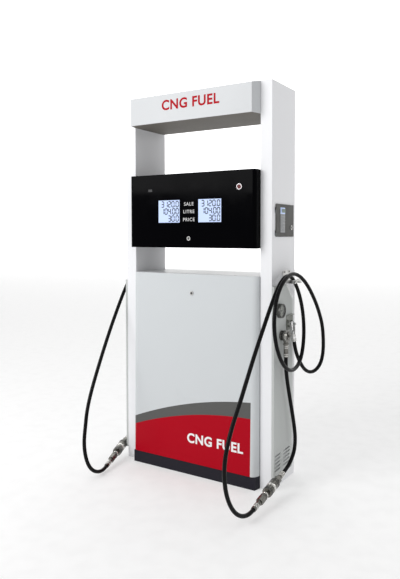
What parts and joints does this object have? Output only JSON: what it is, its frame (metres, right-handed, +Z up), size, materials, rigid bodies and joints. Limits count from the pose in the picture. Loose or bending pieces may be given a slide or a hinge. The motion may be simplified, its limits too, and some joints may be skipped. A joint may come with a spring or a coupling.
{
  "type": "gas pump",
  "caption": "Compressed gas dispenser with two columns, a sign box, a display box, a lower cabinet, and a hose, breakaway, nozzle and gauge on each side.",
  "frame": {"origin": "centre of the anchor bolt pattern, on the floor face of the base plate", "axes": "+Z up; the display and the front door face -Y; +X is to the right of somebody who faces them"},
  "size_m": [1.2196, 1.0796, 2.2],
  "materials": {
    "column_white": "smooth powder coat, satin",
    "side_panel_grey": "powder coat, satin, pale grey",
    "header_white": "powder coat, satin",
    "header_underside": "matt, brown grey",
    "display_black": "high gloss black",
    "indicator_lcd": "backlit pale blue display behind glass",
    "window_smoke": "smoked window",
    "circuit_board": "green board",
    "lock_steel": "polished lock face",
    "button_chrome": "polished ring",
    "button_red": "dark red",
    "door_white": "powder coat with a red and grey decal",
    "cabinet_grey": "powder coat, satin",
    "plinth_slate": "satin slate",
    "frame_steel": "primed steel",
    "valve_steel": "machined",
    "lever_red": "dipped grip",
    "tube_steel": "drawn tube",
    "enclosure_alloy": "cast, painted grey",
    "hook_steel": "brushed",
    "outlet_nickel": "nickel plated, brownish",
    "holder_steel": "brushed",
    "nozzle_chrome": "bright plated",
    "gauge_steel": "dark steel case",
    "pointer_black": "matt",
    "gauge_glass": "clear",
    "hatch_olive": "matt dark olive grey",
    "keypad_grey": "embossed keys",
    "hose_rubber": "smooth satin rubber",
    "fastener_steel": "zinc plated"
  },
  "bodies": {
    "dispenser": {"base_frame": "frame_steel", "breakaway_left": "outlet_nickel", "breakaway_right": "outlet_nickel", "cabinet_frame": "frame_steel", "cabinet_top": "cabinet_grey", "column_left": "column_white", "column_right": "column_white", "control_box": "enclosure_alloy", "display_housing": "display_black", "fasteners": "fastener_steel", "flow_meter_left": "valve_steel", "flow_meter_right": "valve_steel", "gas_tubing": "tube_steel", "gauge_case_left": "gauge_steel", "gauge_case_right": "gauge_steel", "gauge_glass_left": "gauge_glass", "gauge_glass_right": "gauge_glass", "header_shell": "header_white", "header_tray": "header_underside", "hinge_pins": "frame_steel", "hose_fill_left": "hose_rubber", "hose_fill_right": "hose_rubber", "hose_hook_left": "hook_steel", "hose_hook_right": "hook_steel", "hose_supply_left": "hose_rubber", "hose_supply_right": "hose_rubber", "inlet_filters": "valve_steel", "mounting_panel": "frame_steel", "nozzle_holder_left": "holder_steel", "nozzle_holder_right": "holder_steel", "outlet_valve_left": "outlet_nickel", "outlet_valve_right": "outlet_nickel", "plinth": "plinth_slate", "rear_panel": "cabinet_grey", "shutoff_valve": "valve_steel", "side_panel_left": "side_panel_grey", "side_panel_right": "side_panel_grey", "solenoid_valves": "valve_steel"},
    "front_door": {"front_door": "door_white"},
    "front_door_lock": {"front_door_lock": "lock_steel"},
    "display_door": {"display_door": "display_black", "indicator_right": "indicator_lcd", "indicator_left": "indicator_lcd", "display_board": "circuit_board", "stop_button_ring": "button_chrome", "reader_window": "window_smoke"},
    "display_lock": {"display_lock": "lock_steel"},
    "stop_button": {"stop_button": "button_red"},
    "operator_hatch": {"operator_hatch": "hatch_olive", "operator_keypad": "keypad_grey", "operator_screen": "indicator_lcd"},
    "hatch_lock": {"hatch_lock": "lock_steel"},
    "shutoff_lever": {"shutoff_lever": "lever_red"},
    "nozzle_right": {"nozzle_right": "nozzle_chrome"},
    "nozzle_left": {"nozzle_left": "nozzle_chrome"},
    "nozzle_lever_right": {"nozzle_lever_right": "nozzle_chrome"},
    "nozzle_lever_left": {"nozzle_lever_left": "nozzle_chrome"},
    "gauge_pointer_right": {"gauge_pointer_right": "pointer_black"},
    "gauge_pointer_left": {"gauge_pointer_left": "pointer_black"}
  },
  "joints": [
    {"name": "front_door_tilt", "type": "hinge", "parent": "dispenser", "child": "front_door", "pos_m": [0, -0.187, 0.082], "axis": [1, 0, 0], "range_deg": [0, 25]},
    {"name": "front_door_lock_turn", "type": "hinge", "parent": "front_door", "child": "front_door_lock", "pos_m": [0, -0.17613, 1.047], "axis": [0, -1, 0], "range_deg": [0, 90]},
    {"name": "display_door_lift", "type": "hinge", "parent": "dispenser", "child": "display_door", "pos_m": [0, -0.1685, 1.723], "axis": [-1, 0, 0], "range_deg": [0, 75]},
    {"name": "display_lock_turn", "type": "hinge", "parent": "display_door", "child": "display_lock", "pos_m": [0, -0.205, 1.36], "axis": [0, -1, 0], "range_deg": [0, 90]},
    {"name": "stop_button_push", "type": "slide", "parent": "display_door", "child": "stop_button", "axis": [0, 1, 0], "range_m": [0, 0.004], "stiffness_N_per_m": 300},
    {"name": "operator_hatch_swing", "type": "hinge", "parent": "dispenser", "child": "operator_hatch", "pos_m": [0.4996, -0.115, 1.459], "axis": [0, 0, -1], "range_deg": [0, 110]},
    {"name": "hatch_lock_turn", "type": "hinge", "parent": "operator_hatch", "child": "hatch_lock", "pos_m": [0.4996, 0.085, 1.421], "axis": [-1, 0, 0], "range_deg": [0, 90]},
    {"name": "shutoff_lever_turn", "type": "hinge", "parent": "dispenser", "child": "shutoff_lever", "pos_m": [0.06, -0.048, 0.355], "axis": [0, -1, 0], "range_deg": [0, 90]},
    {"name": "nozzle_right_pull", "type": "slide", "parent": "dispenser", "child": "nozzle_right", "axis": [1, 0, 0], "range_m": [0, 0.05]},
    {"name": "nozzle_lever_right_turn", "type": "hinge", "parent": "nozzle_right", "child": "nozzle_lever_right", "pos_m": [0.546, 0.02, 0.888], "axis": [1, 0, 0], "range_deg": [0, 90]},
    {"name": "gauge_pointer_right_turn", "type": "hinge", "parent": "dispenser", "child": "gauge_pointer_right", "pos_m": [0.52, -0.085, 0.97], "axis": [-1, 0, 0], "range_deg": [0, 270]},
    {"name": "nozzle_left_pull", "type": "slide", "parent": "dispenser", "child": "nozzle_left", "axis": [-1, 0, 0], "range_m": [0, 0.05]},
    {"name": "nozzle_lever_left_turn", "type": "hinge", "parent": "nozzle_left", "child": "nozzle_lever_left", "pos_m": [-0.546, 0.02, 0.888], "axis": [1, 0, 0], "range_deg": [0, 90]},
    {"name": "gauge_pointer_left_turn", "type": "hinge", "parent": "dispenser", "child": "gauge_pointer_left", "pos_m": [-0.52, -0.085, 0.97], "axis": [1, 0, 0], "range_deg": [0, 270]}
  ]
}
